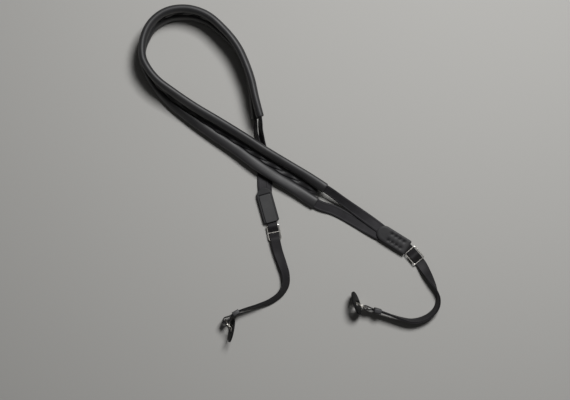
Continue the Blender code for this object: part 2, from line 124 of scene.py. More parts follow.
class StrapColours(bpy.types.PropertyGroup):
    """Colours of the strap's materials."""

    leather: colour_property("Leather", "The black of the pigmented leather", "1c1c1e")
    leather_light: colour_property("Leather, worn", "The leather where handling has lightened it", "292829")
    # The panels' grey is partly their own smoother leather and partly painted light: it is lighter than the
    # leaves' leather also to stand in for the reflection that their smooth upturned faces catch.
    panel: colour_property("Panel", "The greyer leather of the tabs' panels", "323233")
    panel_light: colour_property("Panel, worn", "The panels where handling has lightened them", "3e3e3e")
    disc: colour_property("Disc", "The deep black of the discs' leather", "0d0d0e")
    disc_light: colour_property("Disc, worn", "The discs where handling has lightened them", "161617")
    # The second colour of the tapes and of the webbing is painted highlight: the woven look paints the yarns'
    # crowns lighter and leaves the hollows between them darker, as painted shade.
    tape: colour_property("Tape", "The woven tapes' yarn", "232224")
    tape_crown_highlight: colour_property("Tape, crowns", "The crowns of the tapes' yarns", "464548")
    webbing: colour_property("Webbing", "The thin webbing's yarn", "171618")
    webbing_crown_highlight: colour_property("Webbing, crowns", "The crowns of the webbing's yarns", "353436")
    keeper: colour_property("Keeper", "The moulded keepers", "303032")
    thread: colour_property("Thread", "The tabs' stitching thread", "19191b")
    metal: colour_property("Metal", "The bright nickel plate", "d9d6d0")


class StageSettings(bpy.types.PropertyGroup):
    """The floor, the light and the length of the padding's simulation."""

    floor: colour_property("Floor", "The pale floor", "a9a8a5")
    key: FloatProperty(
        name="Key light", description="The soft light from behind the loop", default=21.5, unit="POWER")
    fill: FloatProperty(
        name="Overhead light", description="The soft light from above", default=0.4, unit="POWER")
    air: FloatProperty(
        name="Surrounding light", description="The even light from all sides", default=0.04, min=0)
    filling_steps: IntProperty(
        name="Filling steps", description="Steps of the padding's simulation", default=20, min=2)


def sizes():
    """The sizes that a user may change."""
    return bpy.context.scene.strap_sizes


def colours():
    """The colours that a user may change."""
    return bpy.context.scene.strap_colours


# Reading the frame


def welded(solid):
    """A copy of a solid's mesh, as a bmesh with its loose triangles joined."""
    shape = bmesh.new()
    shape.from_mesh(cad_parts[solid].data)
    bmesh.ops.remove_doubles(shape, verts=shape.verts[:], dist=WELD)
    return shape


def points_of(vertices):
    """The places of vertices, one a row."""
    return np.array([vertex.co for vertex in vertices])


def solid_points(solid):
    """The places of a whole solid's points."""
    shape = welded(solid)
    points = points_of(shape.verts)
    shape.free()
    return points


def principal(points):
    """(middle, directions, half sizes) of points, with the longest direction first."""
    _, _, axes = np.linalg.svd(points - points.mean(axis=0), full_matrices=False)
    reach = points @ axes.T
    low, high = reach.min(axis=0), reach.max(axis=0)
    order = np.argsort(low - high)
    return ((low + high) / 2) @ axes, axes[order], ((high - low) / 2)[order]


def framed(points):
    """(middle, directions, half sizes) of points, as vectors and plain numbers."""
    middle, axes, half = principal(points)
    return Vector(middle), [Vector(axis) for axis in axes], [float(size) for size in half]


def measured(solid):
    """(middle, directions, half sizes) of a whole solid."""
    return framed(solid_points(solid))


def reaches(points, middle, axes):
    """How far points lie from a place, along each of these directions."""
    return [(points - np.array(middle)) @ np.array(axis) for axis in axes]


def towards(axis, way):
    """An axis, turned round where it points away from this way."""
    return axis if way.dot(axis) > 0 else -axis


def skin_rings(solid, near):
    """The rings of points that a swept solid was skinned over, starting at its end nearest to a place."""
    shape = welded(solid)
    flat = shape.copy()
    bmesh.ops.dissolve_limit(flat, angle_limit=FLAT_ANGLE, verts=flat.verts[:], edges=flat.edges[:])
    ends = [face for face in flat.faces if all(edge.calc_face_angle(0) > END_ANGLE for edge in face.edges)]
    end = min(ends, key=lambda face: (face.calc_center_median() - near).length)
    corners = [corner.co for corner in end.verts]
    ring = {min(shape.verts, key=lambda vertex: (vertex.co - corner).length) for corner in corners}
    rings, seen = [], set()
    while ring:
        seen |= ring
        rings.append(points_of(sorted(ring, key=lambda vertex: vertex.index)))
        ring = {edge.other_vert(vertex) for vertex in ring for edge in vertex.link_edges} - seen
    shape.free()
    flat.free()
    return rings


def eased(values, gone, wanted):
    """Values on a smooth line through those at the distances gone, read at the wanted distances."""
    slopes = np.gradient(values, gone, axis=0)
    i = np.clip(np.searchsorted(gone, wanted, side="right") - 1, 0, len(gone) - 2)
    span = (gone[i + 1] - gone[i])[:, None]
    t = (wanted - gone[i])[:, None] / span
    ease = (1 + 2 * t) * (1 - t) ** 2
    start, end = t * (1 - t) ** 2 * span, t * t * (t - 1) * span
    return values[i] * ease + values[i + 1] * (1 - ease) + slopes[i] * start + slopes[i + 1] * end


def stations(solid, near, step, trim=0):
    """Places about a step apart along a swept solid, without trim rings at each of its ends."""
    rings = skin_rings(solid, near)
    found = [principal(ring) for ring in rings[trim:len(rings) - trim]]
    centres = np.array([middle for middle, _, _ in found])
    acrosses = np.array([axes[0] for _, axes, _ in found])
    for i in range(1, len(acrosses)):
        if acrosses[i] @ acrosses[i - 1] < 0:
            acrosses[i] *= -1
    gone = np.concatenate([[0], np.cumsum(np.linalg.norm(np.diff(centres, axis=0), axis=1))])
    wanted = np.linspace(0, gone[-1], max(2, round(gone[-1] / step) + 1))
    points, widths = eased(centres, gone, wanted), eased(acrosses, gone, wanted)
    travels = np.gradient(points, axis=0)
    made = []
    for point, travel, width, so_far in zip(points, travels, widths, wanted):
        travel = Vector(travel).normalized()
        across = Vector(width)
        across = (across - travel * across.dot(travel)).normalized()
        made.append(Station(Vector(point), travel, across, travel.cross(across), float(so_far)))
    return made


def turned(station, roll):
    """A station turned about its travel."""
    turn = Matrix.Rotation(roll, 3, station.travel)
    return station._replace(across=turn @ station.across, out=turn @ station.out)


def moved_along(station, distance):
    """A station moved along its travel."""
    return station._replace(
        centre=station.centre + station.travel * distance, gone=station.gone + distance)


def risen(value, low, high):
    """0 below low and 1 above high, with a smooth rise between."""
    share = max(0.0, min(1.0, (value - low) / (high - low)))
    return share * share * (3 - 2 * share)


def faded(distance, reach):
    """1 at no distance, and smoothly less further away, with a bell's shape of this reach."""
    return np.exp(-((distance / reach) ** 2))


# Making pieces

BEVEL_SEGMENTS = 3
SHARP_ANGLE = math.radians(45)
LEAF_VOXEL = 0.28 * MM
LEAF_ROUNDS = 5


def only(piece):
    """Makes a piece the only selected one, and the active one."""
    bpy.ops.object.select_all(action="DESELECT")
    piece.select_set(True)
    bpy.context.view_layer.objects.active = piece


def added(add, **settings):
    """The object that an operator adds, with nothing else selected."""
    bpy.ops.object.select_all(action="DESELECT")
    add(**settings)
    return bpy.context.object


@contextmanager
def editing(piece):
    """Edit mode on one piece, with all of it selected at first."""
    only(piece)
    bpy.ops.object.mode_set(mode="EDIT")
    bpy.ops.mesh.select_all(action="SELECT")
    yield
    bpy.ops.object.mode_set(mode="OBJECT")


def select(piece, kind, wanted):
    """In edit mode, selects the piece's edges or faces that are wanted, and nothing else."""
    bpy.ops.mesh.select_mode(type=kind)
    bpy.ops.mesh.select_all(action="DESELECT")
    shape = bmesh.from_edit_mesh(piece.data)
    shape.normal_update()
    for item in shape.edges if kind == "EDGE" else shape.faces:
        item.select_set(wanted(item))
    shape.select_flush_mode()
    bmesh.update_edit_mesh(piece.data)


def shown(name, mesh):
    """An object with this mesh."""
    piece = bpy.data.objects.new(name, mesh)
    bpy.context.collection.objects.link(piece)
    return piece


def drawn(name, verts, faces, uvs):
    """An object with these points and faces, and a UV map in metres that says where each point lies on it."""
    mesh = bpy.data.meshes.new(name)
    mesh.from_pydata([tuple(vert) for vert in verts], [], faces)
    layer = mesh.uv_layers.new(name="UVMap")
    for loop in mesh.loops:
        layer.data[loop.index].uv = uvs[loop.vertex_index]
    return shown(name, mesh)


def closed_faces(rings, count):
    """The faces of a closed skin over this many rings, each of count points."""
    faces = []
    for start in range(0, (rings - 1) * count, count):
        for k in range(count):
            after = (k + 1) % count
            faces.append((start + k, start + after, start + count + after, start + count + k))
    faces.append(tuple(range(count))[::-1])
    faces.append(tuple(range((rings - 1) * count, rings * count)))
    return faces


def swept(name, path, profile):
    """A closed skin over one profile, or a list of profiles, along stations."""
    profiles = profile if isinstance(profile[0], list) else [profile] * len(path)
    verts, uvs = [], []
    for station, section in zip(path, profiles):
        for a, b in section:
            verts.append(station.centre + station.across * a + station.out * b)
            uvs.append((station.gone, a))
    return drawn(name, verts, closed_faces(len(path), len(profiles[0])), uvs)


def move_points(piece, points):
    """Puts a piece's vertices at these places."""
    piece.data.vertices.foreach_set("co", points.astype(np.float32).ravel())
    piece.data.update()


def as_one(name, pieces):
    """Joins pieces into the first one."""
    only(pieces[0])
    for piece in pieces[1:]:
        piece.select_set(True)
    bpy.ops.object.join()
    pieces[0].name = name
    return pieces[0]


def outward(piece):
    """Turns a closed mesh's faces outwards."""
    with editing(piece):
        bpy.ops.mesh.normals_make_consistent(inside=False)


def modified(piece, kind, **settings):
    """Adds a modifier with these settings and applies it."""
    only(piece)
    modifier = piece.modifiers.new(kind.title(), kind)
    for key, value in settings.items():
        setattr(modifier, key, value)
    bpy.ops.object.modifier_apply(modifier=modifier.name)


def bevelled(piece, width):
    """Rounds a piece's sharp edges."""
    modified(
        piece, "BEVEL", width=width, segments=BEVEL_SEGMENTS, limit_method="ANGLE", angle_limit=SHARP_ANGLE)


def softened(solid):
    """A copy of a tab's solid, finely remeshed with evenly rounded edges."""
    shape = welded(solid)
    mesh = bpy.data.meshes.new(solid)
    shape.to_mesh(mesh)
    shape.free()
    piece = shown(f"{solid}_leather", mesh)
    only(piece)
    mesh.remesh_voxel_size = LEAF_VOXEL
    bpy.ops.object.voxel_remesh()
    modified(piece, "SMOOTH", factor=0.5, iterations=LEAF_ROUNDS)
    return piece


def finished(piece, finish, nodes, smooth_deg=40):
    """Shades a piece, gives it its material and hands it to the frame."""
    piece.data.name = piece.name
    only(piece)
    bpy.ops.object.shade_smooth_by_angle(angle=math.radians(smooth_deg))
    piece.data.materials.clear()
    piece.data.materials.append(finish)
    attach(piece, "root")
    if nodes:
        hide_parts(*nodes)


def for_both_ends(model):
    """A copy of a model for each end, each with its own mesh."""
    copies = [(end, model.copy()) for end in ENDS]
    for _, copy in copies:
        copy.data = model.data.copy()
        bpy.context.collection.objects.link(copy)
    bpy.data.objects.remove(model)
    return copies


def common_half(kind):
    """Half the sizes that the solids of both ends share."""
    both = [measured(f"{kind}_{end}")[2] for end in ENDS]
    return [min(pair) for pair in zip(*both)]


def fitted(piece, solid, finish, smooth_deg, axes=None):
    """Turns a copy to these directions, or else to its solid's, puts it in the solid's place, leaves that in
    its mesh and finishes it."""
    middle, own_axes, _ = measured(solid)
    right, front = (axes or own_axes)[:2]
    turn = Matrix((right, front, right.cross(front))).transposed().to_4x4()
    only(piece)
    piece.matrix_world = Matrix.Translation(middle) @ turn @ piece.matrix_world
    bpy.ops.object.transform_apply()
    outward(piece)
    piece.name = f"{solid}_finish"
    finished(piece, finish, [solid], smooth_deg)


# Materials

# The sockets of a colour Mix node: its two colours and its result.
MIX_A, MIX_B, MIX_RESULT = 6, 7, 2
# The leathers: each one's colour, its pebbles' size in millimetres, its roughness and its shine. The tubes'
# has the clearest grain and sheen, the panels' is fine and greyer, partly as painted reflection, and the
# discs' is dull and deep black.
LEATHERS = {
    "Pebbled leather": ("leather", 1.0, 0.58, 0.7),
    "Braid leather": ("leather", 0.7, 0.5, 0.25),
    "Tab leather": ("leather", 0.8, 0.58, 0.35),
    "Panel leather": ("panel", 0.45, 0.5, 0.35),
    "Disc leather": ("disc", 0.6, 0.66, 0.16),
}
# How much rougher than its middle value a leather is where it is dull, and smoother where it is polished.
GLOSS_SPREAD = (0.07, 0.08)
# Scales from the sizes of the leather's and the yarn's clouds and of the metal's scratches.
CLOUD_SCALE = 1 / (22 * MM)
YARN_SCALE = 1 / (9 * MM)
SCRATCH_SCALE = 1 / (0.8 * MM)
# How much the lengthwise yarns' crowns count beside the twill's rows.
TWILL_YARN = 0.3


def linked(tree, made, links):
    """Links a node's inputs, each from a socket or from another node's first output."""
    for key, source in links.items():
        tree.links.new(getattr(source, "outputs", [source])[0], made.inputs[key])


def node(tree, kind, settings=(), links=()):
    """Adds a shader node with its settings, by input name or else by attribute, and its links."""
    made = tree.nodes.new(f"ShaderNode{kind}")
    for key, value in dict(settings).items():
        if isinstance(key, int) or key in made.inputs:
            made.inputs[key].default_value = value
        else:
            setattr(made, key, value)
    linked(tree, made, dict(links))
    return made


def new_material(name, roughness, metallic=0.0, **sockets):
    """(material, tree, shader) of a material whose even values are set on the shader itself."""
    made = bpy.data.materials.new(name)
    made.use_nodes = True
    tree = made.node_tree
    shader = tree.nodes["Principled BSDF"]
    shader.inputs["Roughness"].default_value = roughness
    shader.inputs["Metallic"].default_value = metallic
    for key, value in sockets.items():
        shader.inputs[key.replace("_", " ")].default_value = value
    return made, tree, shader


def material(name, make, *values, **settings):
    """The material of this name, made once."""
    return bpy.data.materials.get(name) or make(name, *values, **settings)


def grained(tree, shader, grain_mm, detail, strength, height_mm, over=None):
    """Gives a surface a fine even grain, over a coarser one where it has that."""
    place = node(tree, "TexCoord").outputs["Object"]
    grain = node(tree, "TexNoise", {"Scale": 1 / (grain_mm * MM), "Detail": detail}, {"Vector": place})
    links = {"Height": grain, "Normal": over} if over else {"Height": grain}
    bump = node(tree, "Bump", {"Strength": strength, "Distance": height_mm * MM}, links)
    linked(tree, shader, {"Normal": bump})


def pebbled_leather(name, dark, light, pebble_mm, roughness, shine):
    """Chrome-tanned leather, pigmented black and embossed with a fine pebble, then waxed: small soft-edged
    pebbles break its highlight, and broad faint clouds show where handling has polished it."""
    made, tree, shader = new_material(name, roughness, Specular_IOR_Level=shine)
    place = node(tree, "TexCoord").outputs["Object"]
    smudges = {"Scale": CLOUD_SCALE, "Detail": 3.0, "Roughness": 0.6}
    clouds = node(tree, "TexNoise", smudges, {"Vector": place})
    share = node(tree, "MapRange", {"From Min": 0.35, "From Max": 0.75}, {"Value": clouds})
    colour = node(tree, "Mix", {"data_type": "RGBA", MIX_A: (*dark, 1), MIX_B: (*light, 1)}, {0: share})
    dull, polished = roughness + GLOSS_SPREAD[0], roughness - GLOSS_SPREAD[1]
    gloss = node(tree, "MapRange", {"To Min": dull, "To Max": polished}, {"Value": clouds})
    cells = {"feature": "SMOOTH_F1", "Scale": 1 / (pebble_mm * MM), "Smoothness": 0.35}
    pebbles = node(tree, "TexVoronoi", cells, {"Vector": place})
    creases = {"Strength": 0.35, "Distance": 0.12 * MM, "invert": True}
    coarse = node(tree, "Bump", creases, {"Height": pebbles})
    linked(tree, shader, {"Base Color": colour.outputs[MIX_RESULT], "Roughness": gloss})
    grained(tree, shader, grain_mm=0.35, detail=2.0, strength=0.2, height_mm=0.05, over=coarse)
    return made


def wave_of(tree, value, period_mm):
    """The sine of a distance in metres with this period."""
    turns = node(tree, "Math", {"operation": "MULTIPLY", 1: 2 * math.pi / (period_mm * MM)}, {0: value})
    return node(tree, "Math", {"operation": "SINE"}, {0: turns})


def woven(name, dark, light, along_mm, across_mm, chevrons, roughness, shine):
    """Narrow-loom weaving in filament yarn: rows of small crowned floats, which run in chevrons from the
    middle line where the weave is a twill. The floats are drawn about twice as coarse as they are, so that
    they show. Their crowns are painted lighter as painted highlight, and the hollows between them darker
    as painted shade, broken up by random clouds."""
    made, tree, shader = new_material(name, roughness, Specular_IOR_Level=shine)
    flat = node(tree, "SeparateXYZ", links={0: node(tree, "UVMap", {"uv_map": "UVMap"})})
    along, across = flat.outputs[0], flat.outputs[1]
    if chevrons:
        aside = node(tree, "Math", {"operation": "ABSOLUTE"}, {0: across})
        along = node(tree, "Math", {"operation": "ADD"}, {0: along, 1: aside})
    rows, ends = wave_of(tree, along, along_mm), wave_of(tree, across, across_mm)
    if chevrons:
        crowns = node(tree, "Math", {"operation": "MULTIPLY_ADD", 1: TWILL_YARN}, {0: ends, 2: rows})
    else:
        crowns = node(tree, "Math", {"operation": "MULTIPLY"}, {0: rows, 1: ends})
    height = node(tree, "MapRange", {"From Min": -1.0}, {"Value": crowns})
    place = node(tree, "TexCoord").outputs["Object"]
    clouds = node(tree, "TexNoise", {"Scale": YARN_SCALE, "Detail": 4.0}, {"Vector": place})
    # Painted highlight and shade: the weave's height, broken up by random clouds, paints the crowns towards
    # the lighter colour and the hollows towards the darker.
    share = node(tree, "Math", {"operation": "MULTIPLY"}, {0: height, 1: clouds})
    colour = node(tree, "Mix", {"data_type": "RGBA", MIX_A: (*dark, 1), MIX_B: (*light, 1)}, {0: share})
    bump = node(tree, "Bump", {"Strength": 0.4, "Distance": 0.1 * MM}, {"Height": height})
    linked(tree, shader, {"Base Color": colour.outputs[MIX_RESULT], "Normal": bump})
    return made


def plated_metal(name, colour):
    """Steel wire, polished and nickel plated: clear bright reflections, broken only by hair scratches."""
    made, tree, shader = new_material(name, roughness=0.3, metallic=1.0, Base_Color=(*colour, 1))
    place = node(tree, "TexCoord").outputs["Object"]
    hairs = {"Scale": SCRATCH_SCALE, "Detail": 5.0, "Distortion": 1.5}
    scratches = node(tree, "TexNoise", hairs, {"Vector": place})
    gloss = node(tree, "MapRange", {"To Min": 0.22, "To Max": 0.42}, {"Value": scratches})
    linked(tree, shader, {"Roughness": gloss})
    return made


def moulded_rubber(name, colour):
    """Grey elastomer, moulded in a blasted tool: an even matt face with a very fine grain."""
    made, tree, shader = new_material(name, roughness=0.5, Base_Color=(*colour, 1))
    grained(tree, shader, grain_mm=0.4, detail=2.0, strength=0.25, height_mm=0.05)
    return made


def waxed_thread(name, colour):
    """Thick bonded polyester thread, twisted and waxed: a slight gloss along its crowns."""
    made, tree, shader = new_material(name, roughness=0.42, Base_Color=(*colour, 1), Sheen_Weight=0.2)
    grained(tree, shader, grain_mm=0.3, detail=3.0, strength=0.4, height_mm=0.08)
    return made


def pale_board(name, colour):
    """Matt coated board: an even pale face with no pattern."""
    made, tree, shader = new_material(
        name, roughness=0.85, Base_Color=(*colour, 1), Specular_IOR_Level=0.2)
    grained(tree, shader, grain_mm=1.5, detail=3.0, strength=0.1, height_mm=0.1)
    return made


def leather(name):
    """One of the leathers in the list above."""
    colour, *values = LEATHERS[name]
    dark, light = getattr(colours(), colour), getattr(colours(), f"{colour}_light")
    return material(name, pebbled_leather, dark, light, *values)


def bright_metal():
    """The plate of the sliders and rings."""
    return material("Nickel-plated steel", plated_metal, colours().metal)


# The neck part

TUBE_STEP = 2.6 * MM
TUBE_SIDES = 22
# The lower tube, which the strap lies on, is pressed flatter, so its section is fuller than an oval.
TUBE_FULLNESS = {"upper": 2.0, "lower": 2.6}
TUBE_HALF = (7.25 * MM, 4.5 * MM)
SOCKET_HALF = (5.75 * MM, 2.7 * MM)
SOCKET_DEPTH = 4.0 * MM
# The rings that each tube's solid has before its even stations start.
TUBE_END_RINGS = 2
# How a tube's end is rounded: distance in from the end, and how much smaller its section is there.
TUBE_END = ((0.0, 0.65 * MM), (0.12 * MM, 0.4 * MM), (0.5 * MM, 0.15 * MM), (1.3 * MM, 0.03 * MM))
END_PULL_IN = 0.7 * MM
# The stations that lie flatter than their solids are those whose faces look up by between these shares.
ROLL_FACING = (0.5, 0.8)
ROLL_FADE = 45 * MM
PADDING_PRESSURE = 4


def tube_paths():
    """The stations of the upper and the lower tube, which run side by side, by name."""
    near = TAB_SIDE["right"]
    return {name: stations(f"neck_tube_{name}", near, TUBE_STEP, TUBE_END_RINGS) for name in TUBE_FULLNESS}


def oval(half_width, half_depth, sides=TUBE_SIDES, fullness=2.0):
    """An oval section, which nears a rectangle as its fullness grows."""
    made = []
    for k in range(sides):
        a, b = math.cos(2 * math.pi * k / sides), math.sin(2 * math.pi * k / sides)
        a, b = (math.copysign(abs(value) ** (2 / fullness), value) for value in (a, b))
        made.append((half_width * a, half_depth * b))
    return made


def from_ends(station, path):
    """0 at a path's ends and 1 a little way in."""
    return risen(min(station.gone, path[-1].gone - station.gone), 0, ROLL_FADE)


def levelled(path, roll, shift):
    """Stations turned by this angle to face up more and shifted this far across, both of them not at the ends
    and not where the strap stands on edge."""
    made = []
    for station in path:
        share = risen(abs(station.out.z), *ROLL_FACING) * from_ends(station, path)
        ways = [turned(station, sign * abs(roll) * share) for sign in (1, -1)]
        ways.sort(key=lambda way: abs(way.out.z))
        way = ways[1] if roll > 0 else ways[0]
        made.append(way._replace(centre=station.centre + station.across * shift * share))
    return made


def side_of(station, other):
    """1 where the other path lies on the side that a station's width points to, and otherwise -1."""
    beside = min(other, key=lambda place: (place.centre - station.centre).length_squared)
    return 1 if (beside.centre - station.centre).dot(station.across) > 0 else -1


def middle_of(path):
    """The middle one of a path's stations."""
    return path[len(path) // 2]


def dressed_path(name, paths):
    """The stations of a tube's leather. The upper lies steeper than its solid and further out, and the lower
    flatter and further in."""
    other = side_of(middle_of(paths[name]), paths["lower" if name == "upper" else "upper"])
    if name == "upper":
        return levelled(paths[name], sizes().upper_roll, -sizes().upper_shift * other)
    return levelled(paths[name], sizes().lower_roll, sizes().lower_shift * other)


def tube_skin(name, path, fullness):
    """(piece, rows at each end) of a tube's leather before it is filled, turned in at both ends round the
    mouths of its sockets."""
    wide, deep = TUBE_HALF[0] - END_PULL_IN, TUBE_HALF[1] - sizes().tube_face
    socket = oval(*SOCKET_HALF)
    ends = []
    for station, inwards in ((path[0], 1), (path[-1], -1)):
        rows = [(moved_along(station, SOCKET_DEPTH * inwards), socket), (station, socket)]
        for distance, inset in TUBE_END:
            section = oval(wide - inset, deep - inset, fullness=fullness)
            rows.append((moved_along(station, distance * inwards), section))
        ends.append(rows)
    narrow = sizes().tube_side - END_PULL_IN
    middle = []
    for station in path[1:-1]:
        middle.append((station, oval(wide - narrow * from_ends(station, path), deep, fullness=fullness)))
    rows = ends[0] + middle + ends[1][::-1]
    return swept(name, [station for station, _ in rows], [section for _, section in rows]), len(ends[0])


def filled(piece, held, most):
    """Lets the padding push the leather outwards by cloth simulation, by the given distance at most."""
    rest = points_of(piece.data.vertices)
    group = piece.vertex_groups.new(name="Held")
    group.add(held, 1.0, "REPLACE")
    cloth = piece.modifiers.new("Filling", "CLOTH")
    cloth.settings.use_pressure = True
    cloth.settings.uniform_pressure_force = PADDING_PRESSURE
    cloth.settings.vertex_group_mass = group.name
    cloth.settings.effector_weights.gravity = 0
    steps = bpy.context.scene.strap_stage.filling_steps
    cloth.point_cache.frame_end = steps
    for step in range(1, steps + 1):
        bpy.context.scene.frame_set(step)
    evaluated = piece.evaluated_get(bpy.context.evaluated_depsgraph_get())
    pushed = points_of(evaluated.data.vertices) - rest
    piece.modifiers.remove(cloth)
    piece.vertex_groups.clear()
    bpy.context.scene.frame_set(1)
    reach = np.linalg.norm(pushed, axis=1, keepdims=True)
    pushed *= most * np.tanh(reach / most) / np.maximum(reach, WELD)
    move_points(piece, rest + pushed)


class STRAP_OT_neck_tubes(bpy.types.Operator):
    """Draws the two padded leather tubes"""

    bl_idname = "strap.neck_tubes"
    bl_label = "Neck tubes"

    def execute(self, context):
        paths = tube_paths()
        for name in paths:
            path = dressed_path(name, paths)
            piece, end_rows = tube_skin(f"neck_tube_{name}_leather", path, TUBE_FULLNESS[name])
            outward(piece)
            count = len(piece.data.vertices)
            # Both ends are held, and one line along the tube as its seam.
            held = {*range(end_rows * TUBE_SIDES), *range(count - end_rows * TUBE_SIDES, count)}
            held.update(range(0 if name == "lower" else TUBE_SIDES // 2, count, TUBE_SIDES))
            filled(piece, sorted(held), sizes().tube_rise)
            modified(piece, "SUBSURF", levels=1, render_levels=1)
            finished(piece, leather("Pebbled leather"), [f"neck_tube_{name}"], smooth_deg=60)
        return {"FINISHED"}


BRAID_STEP = 1.0 * MM
STRAND_SIDES = 20
STRAND_FULLNESS = 2.8
STRAND_LIFT = 0.5 * MM
STRIP_HALF_DEPTH = 0.3 * MM
STRIP_TUCK = 2.4 * MM
BRAID_TAPER = 5.0 * MM


def strand_path(path, phase):
    """One strand's stations: it swings across the braid and over and under the other strand."""
    made = []
    swing, rise = sizes().strand_swing, sizes().strand_depth / 2
    last = path[-1].gone
    for station in path:
        turn = phase - math.pi * (station.gone - sizes().braid_start) / sizes().braid_pitch
        ending = min(1, station.gone / BRAID_TAPER, (last - station.gone) / BRAID_TAPER)
        centre = station.centre + station.across * swing * math.cos(turn) * ending
        centre += station.out * (rise * math.sin(turn) + STRAND_LIFT) * ending
        tilt = sizes().strand_tilt * math.cos(turn) ** 2 * ending
        across = station.across * math.cos(tilt) + station.out * math.sin(tilt)
        made.append(Station(centre, station.travel, across, station.travel.cross(across), station.gone))
    return made


def nearest_inner_edges(path):
    """For the upper tube and then the lower, the points of its inner edge beside the braid's stations."""
    edges = []
    for tube in tube_paths().values():
        inner = TUBE_HALF[0] - STRIP_TUCK
        places = np.array([place.centre + place.across * inner * side_of(place, path) for place in tube])
        picked = []
        for station in path:
            order = np.argsort(np.linalg.norm(places - np.array(station.centre), axis=1))[:2]
            first, second = Vector(places[order[0]]), Vector(places[order[1]])
            line = second - first
            share = max(0, min(1, (station.centre - first).dot(line) / line.length_squared))
            picked.append(first + line * share)
        edges.append(picked)
    return edges


def joining_strip(path):
    """The thin leather between the tubes, which the strands lie round."""
    verts = []
    for station, upper, lower in zip(path, *nearest_inner_edges(path)):
        line = (lower, station.centre, upper)
        verts += [point + station.out * STRIP_HALF_DEPTH for point in line]
        verts += [point - station.out * STRIP_HALF_DEPTH for point in line[::-1]]
    faces = closed_faces(len(path), len(verts) // len(path))
    return drawn("braid_strip", verts, faces, [(0, 0)] * len(verts))


class STRAP_OT_centre_braid(bpy.types.Operator):
    """Draws the flat braid of two leather strands between the tubes"""

    bl_idname = "strap.centre_braid"
    bl_label = "Centre braid"

    def execute(self, context):
        path = stations("centre_braid", TAB_SIDE["right"], BRAID_STEP)
        section = oval(sizes().strand_half, sizes().strand_depth / 2, STRAND_SIDES, STRAND_FULLNESS)
        shift = sizes().braid_shift * side_of(middle_of(path), tube_paths()["upper"])
        level = levelled(path, sizes().braid_roll, shift)
        strands = [swept(f"braid_strand_{k}", strand_path(level, math.pi * k), section) for k in range(2)]
        piece = as_one("centre_braid_leather", strands + [joining_strip(path)])
        outward(piece)
        finished(piece, leather("Braid leather"), ["centre_braid"], smooth_deg=50)
        return {"FINISHED"}


# Tapes and webbing

# Where a strap's section has its points, as shares of its half width: closest over the rib and at the edge.
SECTION_SHARES = (0.15, 0.4, 0.58, 0.66, 0.7, 0.74, 0.78, 0.82, 0.88, 0.93, 0.97, 1.0)
# How thick a strap still is at its rounded edge, as a share of its thickness.
EDGE_SHARE = 0.25
TAPE_STEP = 1.2 * MM
TAPE_HALF = (5.6 * MM, 0.5 * MM)
# A tape's rib: its height, and its place and spread as shares of the half width.
TAPE_RIB = 0.3 * MM
TAPE_RIB_AT = 0.74
RIB_SPREAD = 0.05
WEB_STEP = 0.8 * MM
WEB_HALF = (5.2 * MM, 0.48 * MM)
# How far the upper edge of the free webbing leans out of its bend, and the distances from the slider and
# from the keeper over which it starts to.
WEB_LEAN = {"right": math.radians(26), "left": 0.0}
SLIDER_FADE = (30 * MM, 62 * MM)
KEEPER_FADE = (10 * MM, 52 * MM)


def strap_profile(half_width, half_depth, rib=0.0):
    """A flat strap's section: rounded edges, and a rib of this height along each side of both faces."""
    upper = []
    for share in SECTION_SHARES[::-1] + tuple(-value for value in SECTION_SHARES):
        edge = half_width * (1 - abs(share))
        rounding = math.sqrt(max(0, 1 - max(0, 1 - edge / half_depth) ** 2))
        raised = rib * faded(abs(share) - TAPE_RIB_AT, RIB_SPREAD)
        upper.append((half_width * share, half_depth * max(rounding, EDGE_SHARE) + raised))
    return upper + [(a, -b) for a, b in upper[::-1]]


def woven_strap(solid, path, section, cloth):
    """Draws a strap of this section along stations, in its solid's place."""
    piece = swept(f"{solid}_woven", path, section)
    outward(piece)
    finished(piece, cloth, [solid])


class STRAP_OT_tapes(bpy.types.Operator):
    """Draws the four woven tapes"""

    bl_idname = "strap.tapes"
    bl_label = "Woven tapes"

    def execute(self, context):
        cloth = material(
            "Woven polyester tape", woven, colours().tape, colours().tape_crown_highlight,
            along_mm=0.9, across_mm=1.1, chevrons=False, roughness=0.65, shine=0.2)
        for end in ENDS:
            for side in ("upper", "lower"):
                solid = f"tape_{end}_{side}"
                path = stations(solid, TAB_SIDE[end], TAPE_STEP)
                woven_strap(solid, path, strap_profile(*TAPE_HALF, TAPE_RIB), cloth)
        return {"FINISHED"}


def leaning(path, end):
    """The webbing's stations, with its upper edge leaning out of the bend from the slider to the keeper."""
    slider, keeper = (measured(f"{part}_{end}")[0] for part in ("slider", "keeper"))
    held = [i for i, station in enumerate(path) if (station.centre - keeper).length < KEEPER_FADE[0]]
    made = []
    for i, station in enumerate(path):
        share = risen((station.centre - slider).length, *SLIDER_FADE)
        share *= risen((station.centre - keeper).length, *KEEPER_FADE)
        # The webbing doesn't lean from the keeper round the ring and back.
        if held[0] < i < held[-1]:
            share = 0
        ways = [turned(station, sign * WEB_LEAN[end] * share) for sign in (1, -1)]
        inside = (slider + keeper) / 2 - station.centre
        made.append(min(ways, key=lambda way: inside.dot(towards(way.across, UP))))
    return made


class STRAP_OT_webbing(bpy.types.Operator):
    """Draws the doubled thin webbing"""

    bl_idname = "strap.webbing"
    bl_label = "Thin webbing"

    def execute(self, context):
        cloth = material(
            "Twill nylon webbing", woven, colours().webbing, colours().webbing_crown_highlight,
            along_mm=1.2, across_mm=0.9, chevrons=True, roughness=0.6, shine=0.2)
        for end in ENDS:
            solid = f"thin_webbing_{end}"
            path = leaning(stations(solid, TAB_SIDE[end], WEB_STEP), end)
            woven_strap(solid, path, strap_profile(*WEB_HALF), cloth)
        return {"FINISHED"}


# Tabs

